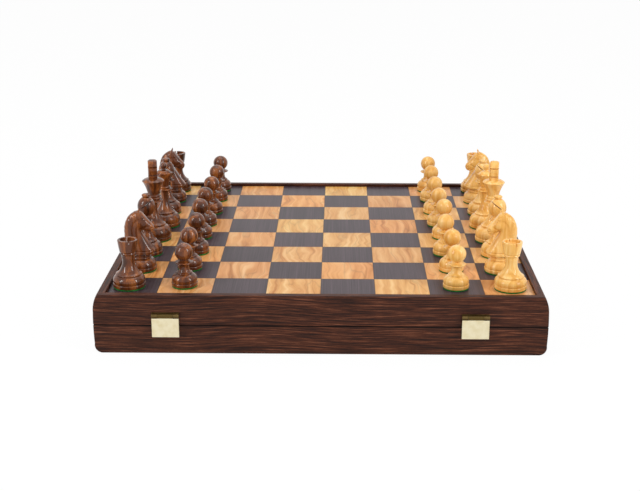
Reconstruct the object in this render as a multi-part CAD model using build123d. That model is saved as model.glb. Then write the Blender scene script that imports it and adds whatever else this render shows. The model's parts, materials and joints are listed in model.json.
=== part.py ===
"""Chess box: a square hinged box whose lid carries the board, with its 32 chessmen set out on it.

Millimetres. The origin is the middle of the box's underside, +Z is up, the clasps face -Y
and the hinges are on the +Y side.
"""
import math
import os

from build123d import *

os.makedirs("parts", exist_ok=True)

# ---------------------------------------------------------------- the box
SQUARE = 50.0                 # pitch of the board's squares
RECESS_HALF = 195.5           # half of the sunk playing field, the same both ways
RIM = 7.0                     # width of the rim, and thickness of the front and back walls
DEPTH_HALF = RECESS_HALF + RIM
BOX_TOP = 56.5
SEAM_Z = 27.3                 # the plane where base and lid part
SEAM_GAP = 0.2
LID_LOW = SEAM_Z + SEAM_GAP / 2
BASE_HIGH = SEAM_Z - SEAM_GAP / 2
FIELD_Z = 53.3                # playing surface
VENEER = 0.6
PANEL = 4.0                   # board panel and bottom panel
GROOVE = 3.0                  # how far the board panel runs into the walls
REBATE = 2.0                  # how far the bottom panel runs under the walls
FELT = 1.0
SEAM_CHAMFER = 0.6
FRONT_EASE = 1.2              # rounding round the front and back faces
RIM_EASE = 0.4                # the rim's sharp inner edge, just broken

# the bowed side of the box, from the underside up: half widths and heights
FOOT_HALF = 200.0
FOOT_BULGE = (204.9, 2.7)
FOOT_TOP = (206.4, 9.0)
BOW_MIDDLE = (206.95, 24.0)
BOW_TOP = (206.7, 39.0)
SHOULDER = (205.7, 48.3)
RIM_HALF = 202.5

DIVIDER = 6.0
DIVIDER_TOP = 25.0

# ---------------------------------------------------------------- the brass
HINGE_X = 130.0               # hinge centres, left and right of the middle
LEAF = 40.0
LEAF_THICK = 1.2
LEAF_DEEP = 6.4               # how far a leaf lies into the wall
BARREL_R = 2.2
PIN_R = 1.0
RUNNING = 0.05                # radial clearance of a pin in its knuckle
HINGE_Y = DEPTH_HALF + BARREL_R + 0.1
KNUCKLES = 5
KNUCKLE_GAP = 0.15
STOP_ANGLE = 47.75            # half of the angle between the two stop lips
STOP_INNER = 2.35
STOP_OUTER = 6.0
STOP_THICK = 1.1

CLASP_X = 140.5
CLASP_WIDE = 25.0
CLASP_PLATE = 0.8
CLASP_AXIS_Z = 37.6
CLASP_PLATE_TOP = 40.0
CLASP_BARREL_R = 1.7
CLASP_PIN_R = 0.8
CLASP_AXIS_Y = -(DEPTH_HALF + CLASP_PLATE + CLASP_BARREL_R + 0.1)
CLASP_KNUCKLE = 14.0          # the flap's middle knuckle
FLAP_LOW = 17.2
FLAP_HIGH = 35.5
FLAP_FACE = -(DEPTH_HALF + 4.1)
FLAP_THICK = 0.9
FLAP_EASE = 0.8               # rounding of the flap's front face
CATCH_PLATE_LOW = 19.3
CATCH_HALF = 10.0             # half width of a catch's plate
CATCH_Z = 21.8                # middle of the catch's rounded ridge
CATCH_R = 1.6
CATCH_WAY_HALF = 10.5         # half of the gap in the flap's lip that lets it pass the ridge

SCREW_R = 1.0
SCREW_HEAD_R = 1.9
SCREW_LONG = 9.0
SCREW_SLOT = 0.6
SCREW_STEP = 12.0             # from the middle of a leaf to its screws
TACK_R = 0.6
TACK_HEAD_R = 1.1
TACK_HEAD = 0.35
TACK_DEEP = 4.0
TACK_STEP = 5.0
LID_TACK_Z = 31.0
BASE_TACK_Z = 25.0

# ---------------------------------------------------------------- the men
PAD = 1.3                     # felt under each man
PAD_INSET = 0.9               # how far the felt stays inside the foot
FOOT_RADIUS = {
    "pawn": 12.1,
    "rook": 15.0,
    "knight": 15.0,
    "bishop": 15.0,
    "king": 17.0,
    "queen": 16.0,
}
ROOK_SAW_TURNS = (17.0, 107.0)
MITRE_LEAN = 35.0
CROSS_TURN = 16.0
CROSS_THICK = 4.8
CORONET_POINTS = 9
STAND = FIELD_Z
COLUMN = {"dark": -1, "light": 1}
OFFICER_X = 3.5 * SQUARE
PAWN_X = 2.5 * SQUARE
FIRST_ROW_Y = -RECESS_HALF + SQUARE / 2
OFFICERS = ["rook", "knight", "bishop", "king", "queen", "bishop", "knight", "rook"]
# how far each man stands off the middle of its square (across, along), from the front row back
STRAY = {
    "dark_pawn": [(-1.5, 3), (-2.5, 4), (-1, 4), (-3, 7), (-2.5, 3), (-0.5, 0.5), (0.5, 3.5), (0.5, -1.5)],
    "light_pawn": [(0, 1.5), (0, 2), (-2, 3.5), (1, 10), (-1, 5), (-2, 4), (-2.5, 5), (-3, -0.5)],
    "dark_officer": [(-2.5, 0), (1, 0), (0, 0), (0, 0), (4, 0), (0, 0), (0, 0), (0, -4)],
    "light_officer": [(0, 0), (-3.5, 0), (-1.5, 0), (0, 0), (-2, 0), (0, 0), (0, 0), (1.5, -4)],
}


def block(low, high):
    """A rectangular block between two corners."""
    size = [b - a for a, b in zip(low, high)]
    middle = [(a + b) / 2 for a, b in zip(low, high)]
    return Pos(*middle) * Box(*size)


def rod(radius, start, end):
    """A round rod from one point to another."""
    path = Vector(*end) - Vector(*start)
    plane = Plane(origin=Vector(*start), z_dir=path)
    return plane * Cylinder(radius, path.length, align=(Align.CENTER, Align.CENTER, Align.MIN))


def save(name, *solids):
    """Write one sub-part, which may hold several separate solids."""
    shape = solids[0] if len(solids) == 1 else Compound(children=list(solids))
    export_step(shape, f"parts/{name}.step")


# ---------------------------------------------------------------- walls
def half_outline(side):
    """One side of the box seen from the front: underside, rounded foot, bow, rim."""
    def at(point):
        return (side * point[0], point[1])

    foot = (FOOT_HALF, 0.0)
    rim = (RIM_HALF, BOX_TOP)
    return [
        Line((0, 0), at(foot)),
        ThreePointArc(at(foot), at(FOOT_BULGE), at(FOOT_TOP)),
        ThreePointArc(at(FOOT_TOP), at(BOW_MIDDLE), at(BOW_TOP)),
        ThreePointArc(at(BOW_TOP), at(SHOULDER), at(rim)),
        Line(at(rim), (0, BOX_TOP)),
    ]


def box_prism(y_low, y_high):
    """The whole outline of the box, carried from y_low to y_high."""
    face = make_face(half_outline(1) + half_outline(-1))
    return extrude(Plane.XZ.offset(-y_high) * face, y_high - y_low)


def slab(z_low, z_high):
    reach = 2 * DEPTH_HALF
    return block((-reach, -reach, z_low), (reach, reach, z_high))


def end_wall(facing, z_low, z_high):
    """Front (facing -1) or back (facing 1) wall of one half: it covers the ends of the side walls."""
    outer = facing * DEPTH_HALF
    inner = facing * RECESS_HALF
    prism = box_prism(min(outer, inner), max(outer, inner))
    outer_face = prism.faces().sort_by(Axis.Y)[0 if facing < 0 else -1]
    prism = fillet(outer_face.edges(), FRONT_EASE)
    wall = prism & slab(z_low, z_high)
    seam = LID_LOW if z_low > 0 else BASE_HIGH
    seam_edges = wall.edges().filter_by_position(Axis.Z, seam - 0.01, seam + 0.01)
    edge = seam_edges.sort_by(Axis.Y)[0 if facing < 0 else -1]
    return chamfer(edge, SEAM_CHAMFER)


def side_wall(side, z_low, z_high):
    """Left (side -1) or right (side 1) wall of one half, bowed outside and flat inside."""
    prism = box_prism(-RECESS_HALF, RECESS_HALF) & slab(z_low, z_high)
    reach = 2 * DEPTH_HALF
    near = side * RECESS_HALF
    keep = block((min(near, side * reach), -reach, 0), (max(near, side * reach), reach, BOX_TOP))
    wall = prism & keep
    seam = LID_LOW if z_low > 0 else BASE_HIGH
    seam_edges = wall.edges().filter_by_position(Axis.Z, seam - 0.01, seam + 0.01).filter_by(Axis.Y)
    edge = seam_edges.sort_by(Axis.X)[0 if side < 0 else -1]
    return chamfer(edge, SEAM_CHAMFER)


def rim_bevels():
    """Four slim prisms that break the sharp edge between the rim's top and the sunk field."""
    across = RIM_EASE * math.sqrt(2)
    long = 2 * (RECESS_HALF + RIM_EASE)
    bars = []
    for turn in (0, 90, 180, 270):
        bar = Pos(0, RECESS_HALF, BOX_TOP) * Rot(45, 0, 0) * Box(long, across, across)
        bars.append(Rot(0, 0, turn) * bar)
    return bars


def panel_space():
    """The groove that holds the board panel."""
    half = RECESS_HALF + GROOVE
    return block((-half, -half, FIELD_Z - VENEER - PANEL), (half, half, FIELD_Z - VENEER))


def bottom_space():
    """The rebate that holds the bottom panel."""
    half = RECESS_HALF + REBATE
    return block((-half, -half, 0), (half, half, PANEL))


# ---------------------------------------------------------------- board
def column_edges():
    """Lines between the columns: the two outer columns are a little narrower."""
    inner = [SQUARE * k for k in range(-3, 4)]
    return [-RECESS_HALF] + inner + [RECESS_HALF]


def row_edges():
    """Lines between the rows, from the front: the last row is what is left of the field."""
    return [-RECESS_HALF + SQUARE * k for k in range(8)] + [RECESS_HALF]


def squares(colour):
    """The 32 squares of one colour, each a piece of veneer."""
    columns = column_edges()
    rows = row_edges()
    parity = 0 if colour == "dark" else 1
    pieces = []
    for i in range(8):
        for j in range(8):
            if (i + j) % 2 == parity:
                low = (columns[i], rows[j], FIELD_Z - VENEER)
                pieces.append(block(low, (columns[i + 1], rows[j + 1], FIELD_Z)))
    return pieces


# ---------------------------------------------------------------- fasteners
def screw(x, y, z, direction):
    """Countersunk wood screw: (x, y, z) is the middle of the head's face, direction points inwards."""
    head_long = SCREW_HEAD_R - SCREW_R
    head = Plane(origin=(x, y, z), z_dir=direction) * Cone(
        SCREW_HEAD_R, SCREW_R, head_long, align=(Align.CENTER, Align.CENTER, Align.MIN))
    end = Vector(x, y, z) + Vector(*direction) * SCREW_LONG
    body = head + rod(SCREW_R, (x, y, z), (end.X, end.Y, end.Z))
    slot = Plane(origin=(x, y, z), z_dir=direction) * Box(2 * SCREW_HEAD_R + 0.2, 0.5, SCREW_SLOT)
    return body - slot


def tack(x, z):
    """Small brass pin that holds a clasp plate or a catch to the front wall."""
    y = -DEPTH_HALF
    shank = rod(TACK_R, (x, y - CLASP_PLATE, z), (x, y + TACK_DEEP, z))
    head = Pos(x, y - CLASP_PLATE, z) * Rot(90, 0, 0) * Cylinder(
        TACK_HEAD_R, TACK_HEAD, align=(Align.CENTER, Align.CENTER, Align.MIN))
    return shank + head


# ---------------------------------------------------------------- hinges
def stop_bar(x_low, x_high, near, far, upper):
    """A bar that stands out from the barrel at the stop angle, between two distances from the axis."""
    lean = 1 if upper else -1
    bar = block((x_low, near, min(0, lean * STOP_THICK)), (x_high, far, max(0, lean * STOP_THICK)))
    return Pos(0, HINGE_Y, SEAM_Z) * Rot(lean * STOP_ANGLE, 0, 0) * bar


def hinge_leaf(x, upper):
    """One leaf let into the seam, with its knuckles outside and the lip that stops the open lid."""
    z_low = LID_LOW if upper else BASE_HIGH - LEAF_THICK
    z_high = z_low + LEAF_THICK
    leaf = block((x - LEAF / 2, DEPTH_HALF - LEAF_DEEP, z_low), (x + LEAF / 2, DEPTH_HALF, z_high))
    pitch = LEAF / KNUCKLES
    for k in range(KNUCKLES):
        if k % 2 == (1 if upper else 0):
            x_low = x - LEAF / 2 + k * pitch + KNUCKLE_GAP / 2
            x_high = x_low + pitch - KNUCKLE_GAP
            leaf += block((x_low, DEPTH_HALF - 0.1, z_low), (x_high, HINGE_Y, z_high))
            leaf += rod(BARREL_R, (x_low, HINGE_Y, SEAM_Z), (x_high, HINGE_Y, SEAM_Z))
            leaf += stop_bar(x_low, x_high, BARREL_R - 0.6, STOP_INNER + 0.2, upper)
    leaf += stop_bar(x - LEAF / 2, x + LEAF / 2, STOP_INNER, STOP_OUTER, upper)
    leaf -= rod(PIN_R + RUNNING, (x - LEAF, HINGE_Y, SEAM_Z), (x + LEAF, HINGE_Y, SEAM_Z))
    return leaf


def hinge_pin(x):
    """The hinge's pin: it stays with the base, whose outer knuckles grip it."""
    return rod(PIN_R, (x - LEAF / 2 - 0.4, HINGE_Y, SEAM_Z), (x + LEAF / 2 + 0.4, HINGE_Y, SEAM_Z))


def leaf_screws(x, upper):
    """Two screws through one leaf, up into the lid or down into the base."""
    y = DEPTH_HALF - LEAF_DEEP / 2
    z = LID_LOW if upper else BASE_HIGH
    direction = (0, 0, 1) if upper else (0, 0, -1)
    return [screw(x + step, y, z, direction) for step in (-SCREW_STEP, SCREW_STEP)]


# ---------------------------------------------------------------- clasps
def clasp_plate(x):
    """Brass plate on the lid with the two outer knuckles that carry the flap."""
    half = CLASP_WIDE / 2
    face = -DEPTH_HALF
    plate = block((x - half, face - CLASP_PLATE, LID_LOW + 0.6), (x + half, face, CLASP_PLATE_TOP))
    knuckle = (CLASP_WIDE - CLASP_KNUCKLE) / 2 - KNUCKLE_GAP
    for x_low in (x - half, x + half - knuckle):
        x_high = x_low + knuckle
        plate += rod(CLASP_BARREL_R, (x_low, CLASP_AXIS_Y, CLASP_AXIS_Z),
                     (x_high, CLASP_AXIS_Y, CLASP_AXIS_Z))
        plate += block((x_low, CLASP_AXIS_Y, CLASP_AXIS_Z - 1.0), (x_high, face - 0.1, CLASP_AXIS_Z + 1.0))
    return plate - rod(CLASP_PIN_R, (x - half - 1, CLASP_AXIS_Y, CLASP_AXIS_Z),
                       (x + half + 1, CLASP_AXIS_Y, CLASP_AXIS_Z))


def clasp_pin(x):
    """The pin through a clasp's knuckles."""
    half = CLASP_WIDE / 2
    return rod(CLASP_PIN_R, (x - half, CLASP_AXIS_Y, CLASP_AXIS_Z), (x + half, CLASP_AXIS_Y, CLASP_AXIS_Z))


def clasp_flap(x):
    """The flap: a shallow pressed pan, hung from the pin, that closes over the catch."""
    half = CLASP_WIDE / 2
    back = -DEPTH_HALF - 0.6
    pan = block((x - half, FLAP_FACE, FLAP_LOW), (x + half, back, FLAP_HIGH))
    face_edges = pan.faces().sort_by(Axis.Y)[0].edges()
    pan = fillet(face_edges, FLAP_EASE)
    hollow = block((x - half + FLAP_THICK, FLAP_FACE + FLAP_THICK, FLAP_LOW + FLAP_THICK),
                   (x + half - FLAP_THICK, 0, FLAP_HIGH + 1))
    plate_space = block((x - half - 1, CLASP_AXIS_Y + 0.35, LID_LOW), (x + half + 1, 0, FLAP_HIGH + 1))
    catch_way = block((x - CATCH_WAY_HALF, FLAP_FACE + 1.5, 0), (x + CATCH_WAY_HALF, 0, FLAP_HIGH))
    flap = pan - hollow - plate_space - catch_way
    inner = CLASP_KNUCKLE / 2 - KNUCKLE_GAP
    flap += block((x - inner, FLAP_FACE, FLAP_HIGH - 0.3),
                  (x + inner, FLAP_FACE + FLAP_THICK, CLASP_AXIS_Z))
    flap += rod(CLASP_BARREL_R, (x - inner, CLASP_AXIS_Y, CLASP_AXIS_Z), (x + inner, CLASP_AXIS_Y, CLASP_AXIS_Z))
    return flap - rod(CLASP_PIN_R + RUNNING, (x - half, CLASP_AXIS_Y, CLASP_AXIS_Z),
                      (x + half, CLASP_AXIS_Y, CLASP_AXIS_Z))


def clasp_catch(x):
    """The catch on the base: a thin plate with a rounded ridge that the flap's lip closes under."""
    face = -DEPTH_HALF
    ridge_y = face - 0.6
    ridge_half = CATCH_HALF - 2.0
    low = (x - CATCH_HALF, face - CLASP_PLATE, CATCH_PLATE_LOW)
    front = (x - CATCH_HALF, ridge_y - 2 * CATCH_R, CATCH_PLATE_LOW)
    high = (x + CATCH_HALF, face, BASE_HIGH - 0.8)
    plate = block(low, high)
    outside = block(front, high)
    ridge = rod(CATCH_R, (x - ridge_half, ridge_y, CATCH_Z), (x + ridge_half, ridge_y, CATCH_Z))
    return plate + (ridge & outside)


# ---------------------------------------------------------------- turned men
def turned(*stretches):
    """A solid of revolution about Z, starting on the axis at the height of the pad.

    Each stretch runs to a radius and a height; a third number is how far it bows outwards.
    """
    here = (0.0, PAD)
    lines = []
    for stretch in stretches:
        there = (float(stretch[0]), float(stretch[1]))
        bow = stretch[2] if len(stretch) > 2 else 0
        if bow:
            dr = there[0] - here[0]
            dz = there[1] - here[1]
            length = math.hypot(dr, dz)
            middle = ((here[0] + there[0]) / 2 + bow * dz / length,
                      (here[1] + there[1]) / 2 - bow * dr / length)
            lines.append(ThreePointArc(here, middle, there))
        else:
            lines.append(Line(here, there))
        here = there
    lines.append(Line(here, (0.0, PAD)))
    return revolve(Plane.XZ * make_face(lines), Axis.Z)


def foot(kind, waist, waist_z):
    """Plinth, bead and swelling that every man stands on, up to the waist."""
    radius = FOOT_RADIUS[kind]
    return [
        (radius - 0.6, PAD),
        (radius, 4.6, 0.3),
        (radius - 0.5, 5.0),
        (waist, waist_z, 0.22 * (waist_z - 5)),
    ]


def pawn():
    """A ball over a thin collar."""
    body = turned(*foot("pawn", 8.2, 12.6), (7.2, 12.9), (7.2, 14.2, 0.5), (6.2, 14.5), (4.65, 18.2, -0.4),
                  (8.0, 23.0, -1.3), (8.5, 23.4), (8.5, 24.0), (4.9, 25.6, -0.3), (4.9, 27.0), (0, 27.0))
    return body + Pos(0, 0, 33.3) * Sphere(8.45)


def rook():
    """A turret with a sunk top and two saw cuts across its wall."""
    body = turned(*foot("rook", 12.0, 12.2), (12.1, 12.6), (12.1, 13.9, 0.5), (10.6, 14.4), (6.1, 29.5, -2.2),
                  (6.5, 32.4, -0.2), (7.3, 32.8), (7.3, 34.2, 0.4), (7.4, 34.6), (9.3, 45.6), (8.8, 46.0),
                  (7.4, 46.0), (6.9, 43.2), (0, 43.2))
    for turn in ROOK_SAW_TURNS:
        body -= Rot(0, 0, turn) * Pos(0, 0, 45.4) * Box(1.2, 24.0, 4.4)
    return body


def bishop(facing):
    """The saw cut runs down into the mitre from the side that faces the other men."""
    body = turned(*foot("bishop", 9.9, 13.6), (9.2, 13.9), (9.2, 15.2, 0.5), (8.0, 15.6), (4.0, 33.5, -2.2),
                  (5.2, 36.6, -0.4), (7.6, 37.2), (7.6, 38.2, 0.3), (5.6, 38.8), (5.8, 40.2, 0.3), (4.9, 40.8),
                  (8.8, 50.0, 1.1), (3.0, 59.4, 1.5), (4.0, 59.9), (4.0, 61.4), (2.6, 62.8, 0.3), (0, 62.8))
    cut = Pos(facing * 2.4, 0, 53.6) * Rot(0, -facing * MITRE_LEAN, 0) * Box(15.0, 30.0, 0.9)
    return body - cut


def king():
    """The tallest man's turned body, up to the dome under the cross."""
    return turned(*foot("king", 11.6, 15.8), (11.0, 16.1), (11.0, 17.7, 0.6), (9.6, 18.2), (3.6, 37.5, -2.6),
                  (5.0, 40.6, -0.5), (8.8, 41.3), (8.8, 42.4, 0.3), (6.7, 43.0), (7.6, 44.4), (7.6, 45.5, 0.3),
                  (6.5, 46.1), (6.7, 48.2, 0.4), (5.9, 48.6), (11.2, 62.8, -0.7), (10.8, 63.5), (5.0, 65.8, 0.4),
                  (0, 65.8))


def cross(outward):
    """The king's cross: a thick plate with flared arms and narrow notches between them."""
    low, high = 65.2, 85.0
    plate = make_face([
        Line((-5.0, low), (5.0, low)),
        Line((5.0, low), (6.8, 73.8)),
        ThreePointArc((6.8, 73.8), (4.9, 82.4), (0, high)),
        ThreePointArc((0, high), (-4.9, 82.4), (-6.8, 73.8)),
        Line((-6.8, 73.8), (-5.0, low)),
    ])
    body = extrude(Plane.YZ * plate, CROSS_THICK / 2, both=True)
    for side in (-1, 1):
        for z, tilt in ((77.6, -25.0), (69.6, 25.0)):
            body -= Pos(0, side * 6.4, z) * Rot(side * tilt, 0, 0) * Box(2 * CROSS_THICK, 5.0, 1.3)
    return Rot(0, 0, -outward * CROSS_TURN) * body


def queen():
    """A coronet with hollows round its rim, and a ball on top."""
    body = turned(*foot("queen", 10.9, 14.6), (10.3, 14.9), (10.3, 16.3, 0.5), (9.1, 16.8), (4.1, 36.5, -2.4),
                  (5.5, 39.9, -0.4), (8.2, 40.5), (8.2, 41.6, 0.3), (6.2, 42.2), (6.4, 43.8, 0.3), (5.2, 44.4),
                  (9.2, 58.2, -0.9), (8.7, 59.2), (7.4, 59.0), (3.0, 61.8, 0.9), (2.2, 62.4), (2.2, 64.0),
                  (0, 64.0))
    body += Pos(0, 0, 66.2) * Sphere(3.5)
    for k in range(CORONET_POINTS):
        notch = Pos(9.6, 0, 59.6) * Rot(0, 90, 0) * Cylinder(1.5, 3.2)
        body -= Rot(0, 0, (k + 0.5) * 360.0 / CORONET_POINTS) * notch
    return body


def knight(facing):
    """A turned foot with the carved head on it: side outline crossed with the outline from the front."""
    base = turned(*foot("knight", 9.8, 12.6), (10.0, 12.9), (10.0, 14.3, 0.5), (9.4, 14.7), (9.6, 17.5), (0, 17.5))
    side = make_face([
        Line((-11.8, 17.3), (10.6, 17.3)),
        ThreePointArc((10.6, 17.3), (13.6, 18.2), (14.3, 20.8)),
        ThreePointArc((14.3, 20.8), (7.6, 28.6), (1.8, 39.6)),
        Line((1.8, 39.6), (6.4, 37.8)),
        ThreePointArc((6.4, 37.8), (10.8, 37.3), (13.6, 40.8)),
        ThreePointArc((13.6, 40.8), (14.0, 44.0), (11.6, 47.4)),
        ThreePointArc((11.6, 47.4), (7.2, 51.4), (4.4, 56.2)),
        Line((4.4, 56.2), (2.2, 62.3)),
        Line((2.2, 62.3), (-1.6, 60.4)),
        ThreePointArc((-1.6, 60.4), (-10.6, 53.4), (-14.8, 42.0)),
        ThreePointArc((-14.8, 42.0), (-14.2, 28.0), (-11.8, 17.3)),
    ])
    front = make_face([
        Line((-10.6, 17.3), (10.6, 17.3)),
        ThreePointArc((10.6, 17.3), (7.2, 30.0), (5.6, 42.0)),
        ThreePointArc((5.6, 42.0), (5.4, 52.0), (3.4, 62.3)),
        Line((3.4, 62.3), (-3.4, 62.3)),
        ThreePointArc((-3.4, 62.3), (-5.4, 52.0), (-5.6, 42.0)),
        ThreePointArc((-5.6, 42.0), (-7.2, 30.0), (-10.6, 17.3)),
    ])
    head = extrude(Plane.XZ * side, 20, both=True) & extrude(Plane.YZ * front, 20, both=True)
    head = head & Cylinder(15.2, 200)
    if facing < 0:
        head = Rot(0, 0, 180) * head
    return base + head


def felt_pad(radius):
    return Cylinder(radius - PAD_INSET, PAD, align=(Align.CENTER, Align.CENTER, Align.MIN))


def man(kind, facing):
    """One man's wood; the two armies face each other across the board."""
    if kind == "pawn":
        return pawn()
    if kind == "rook":
        return rook()
    if kind == "knight":
        return knight(facing)
    if kind == "bishop":
        return bishop(facing)
    if kind == "king":
        return king() + cross(-facing)
    return queen()


def place(x, y, solid):
    return Pos(x, y, STAND) * solid


# ---------------------------------------------------------------- build: box
def build_walls():
    """Four walls for the lid and four for the base, with every recess and screw hole cut."""
    leaves = [hinge_leaf(x, upper) for x in (-HINGE_X, HINGE_X) for upper in (False, True)]
    lid_screws = [s for x in (-HINGE_X, HINGE_X) for s in leaf_screws(x, True)]
    base_screws = [s for x in (-HINGE_X, HINGE_X) for s in leaf_screws(x, False)]
    tacks = {"lid": [], "base": []}
    for x in (-CLASP_X, CLASP_X):
        tacks["lid"] += [tack(x + step, LID_TACK_Z) for step in (-TACK_STEP, TACK_STEP)]
        tacks["base"] += [tack(x + step, BASE_TACK_Z) for step in (-TACK_STEP, TACK_STEP)]

    lid = {
        "front": end_wall(-1, LID_LOW, BOX_TOP),
        "back": end_wall(1, LID_LOW, BOX_TOP),
        "left": side_wall(-1, LID_LOW, BOX_TOP),
        "right": side_wall(1, LID_LOW, BOX_TOP),
    }
    base = {
        "front": end_wall(-1, 0, BASE_HIGH),
        "back": end_wall(1, 0, BASE_HIGH),
        "left": side_wall(-1, 0, BASE_HIGH),
        "right": side_wall(1, 0, BASE_HIGH),
    }
    for name in lid:
        lid[name] -= panel_space()
        base[name] -= bottom_space()
        for bevel in rim_bevels():
            lid[name] -= bevel
    for x in (-HINGE_X, HINGE_X):
        half = LEAF / 2
        y_low = DEPTH_HALF - LEAF_DEEP
        lid["back"] -= block((x - half, y_low, LID_LOW), (x + half, DEPTH_HALF + 1, LID_LOW + LEAF_THICK))
        base["back"] -= block((x - half, y_low, BASE_HIGH - LEAF_THICK), (x + half, DEPTH_HALF + 1, BASE_HIGH))
    for one in lid_screws:
        lid["back"] -= one
    for one in base_screws:
        base["back"] -= one
    for one in tacks["lid"]:
        lid["front"] -= one
    for one in tacks["base"]:
        base["front"] -= one
    for name in lid:
        save(f"lid_{name}_wall", lid[name])
        save(f"base_{name}_wall", base[name])

    names = [f"{side}_hinge_{part}_leaf" for side in ("left", "right") for part in ("base", "lid")]
    holes = lid_screws + base_screws
    for name, leaf in zip(names, leaves):
        for one in holes:
            leaf -= one
        save(name, leaf)
    save("hinge_pins", hinge_pin(-HINGE_X), hinge_pin(HINGE_X))
    save("lid_screws", *lid_screws, *tacks["lid"])
    save("base_screws", *base_screws, *tacks["base"])
    return tacks


def build_clasps(tacks):
    for side, x in (("left", -CLASP_X), ("right", CLASP_X)):
        plate = clasp_plate(x)
        for one in tacks["lid"]:
            plate -= one
        save(f"{side}_clasp_plate", plate)
        save(f"{side}_clasp_flap", clasp_flap(x))
    catches = []
    for x in (-CLASP_X, CLASP_X):
        catch = clasp_catch(x)
        for one in tacks["base"]:
            catch -= one
        catches.append(catch)
    save("clasp_catches", *catches)
    save("clasp_pins", clasp_pin(-CLASP_X), clasp_pin(CLASP_X))


def build_panels():
    """Board, bottom, linings and the divider between the two stores."""
    save("board_panel", panel_space())
    save("dark_squares", *squares("dark"))
    save("light_squares", *squares("light"))
    save("base_panel", bottom_space())
    under = FIELD_Z - VENEER - PANEL
    save("lid_lining", block((-RECESS_HALF, -RECESS_HALF, under - FELT), (RECESS_HALF, RECESS_HALF, under)))
    half = DIVIDER / 2
    save("base_lining",
         block((-RECESS_HALF, -RECESS_HALF, PANEL), (-half, RECESS_HALF, PANEL + FELT)),
         block((half, -RECESS_HALF, PANEL), (RECESS_HALF, RECESS_HALF, PANEL + FELT)))
    save("centre_divider", block((-half, -RECESS_HALF, PANEL), (half, RECESS_HALF, DIVIDER_TOP)))


# ---------------------------------------------------------------- build: men
def build_men():
    """Both armies: a file of officers on the outer column and a file of pawns inside it."""
    for colour, side in COLUMN.items():
        seen = {}
        for row, kind in enumerate(OFFICERS):
            y = FIRST_ROW_Y + row * SQUARE
            across, along = STRAY[f"{colour}_officer"][row]
            x = side * OFFICER_X + across
            seen[kind] = seen.get(kind, 0) + 1
            number = f"_{seen[kind]}" if OFFICERS.count(kind) > 1 else ""
            wood = place(x, y + along, man(kind, -side))
            pad = place(x, y + along, felt_pad(FOOT_RADIUS[kind]))
            save(f"{colour}_{kind}{number}", wood, pad)
            across, along = STRAY[f"{colour}_pawn"][row]
            x = side * PAWN_X + across
            wood = place(x, y + along, man("pawn", -side))
            pad = place(x, y + along, felt_pad(FOOT_RADIUS["pawn"]))
            save(f"{colour}_pawn_{row + 1}", wood, pad)


build_clasps(build_walls())
build_panels()
build_men()
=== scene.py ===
# %% [markdown]
# # A chess box with its men set out
# The box, board, hinges and clasps come from the measured model. This file gives them
# their finishes, turns and carves the 32 men, lays the felt inside, and sets up the
# studio. Every length is in metres, and every place is read from the measured model.

# %% Load the measured model
import json
import math

import bpy
import numpy as np
from mathutils import Matrix, Vector


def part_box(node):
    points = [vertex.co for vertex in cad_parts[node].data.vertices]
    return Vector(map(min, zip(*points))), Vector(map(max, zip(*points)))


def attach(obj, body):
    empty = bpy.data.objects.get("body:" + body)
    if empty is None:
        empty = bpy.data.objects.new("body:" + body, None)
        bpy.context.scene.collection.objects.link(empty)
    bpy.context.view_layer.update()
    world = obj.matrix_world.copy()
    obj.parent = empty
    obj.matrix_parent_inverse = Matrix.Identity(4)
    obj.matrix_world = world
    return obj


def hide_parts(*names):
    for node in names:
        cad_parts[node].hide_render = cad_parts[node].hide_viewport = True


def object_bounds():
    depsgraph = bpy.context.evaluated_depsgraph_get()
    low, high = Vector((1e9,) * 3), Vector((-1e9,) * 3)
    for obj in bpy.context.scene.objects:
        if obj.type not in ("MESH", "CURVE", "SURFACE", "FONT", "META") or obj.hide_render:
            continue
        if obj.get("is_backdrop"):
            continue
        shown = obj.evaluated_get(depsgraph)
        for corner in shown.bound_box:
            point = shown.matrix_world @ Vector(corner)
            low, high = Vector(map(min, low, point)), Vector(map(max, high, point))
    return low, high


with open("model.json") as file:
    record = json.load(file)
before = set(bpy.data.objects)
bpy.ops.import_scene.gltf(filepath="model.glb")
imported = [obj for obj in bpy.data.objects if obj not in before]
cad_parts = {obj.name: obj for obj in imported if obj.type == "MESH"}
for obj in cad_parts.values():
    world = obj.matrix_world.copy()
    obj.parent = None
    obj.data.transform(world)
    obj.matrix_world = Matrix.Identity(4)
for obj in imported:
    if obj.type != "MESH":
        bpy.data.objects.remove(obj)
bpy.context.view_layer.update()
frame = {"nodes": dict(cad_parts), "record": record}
MM = 0.001

# %% [markdown]
# ## The camera
# A picture of a squared board tells where it was taken from. The place, tilt and lens
# below were worked out from the corners of the squares. A camera looks along its own
# -Z with +Y up, so its three axes are the columns of its matrix.

# %% Camera
CAMERA_PLACE = (0.01564, -1.24389, 0.43389)
PITCH_DOWN = 0.30637
YAW = -0.01530
ROLL = 0.00076
LENS = 69.14
SENSOR = 36.0

ahead = Vector((math.sin(YAW) * math.cos(PITCH_DOWN), math.cos(YAW) * math.cos(PITCH_DOWN),
                -math.sin(PITCH_DOWN)))
level = Vector((math.cos(YAW), -math.sin(YAW), 0.0))
upward = level.cross(ahead)
across = math.cos(ROLL) * level + math.sin(ROLL) * upward
upward = -math.sin(ROLL) * level + math.cos(ROLL) * upward
camera_data = bpy.data.cameras.new("camera")
camera_data.lens = LENS
camera_data.sensor_width = SENSOR
camera_data.sensor_fit = "HORIZONTAL"
camera_data.clip_end = 50.0
camera = bpy.data.objects.new("camera", camera_data)
axes = Matrix((across, upward, -ahead)).transposed().to_4x4()
camera.matrix_world = Matrix.Translation(CAMERA_PLACE) @ axes
bpy.context.scene.collection.objects.link(camera)
bpy.context.scene.camera = camera
print("camera at", CAMERA_PLACE)

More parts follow.
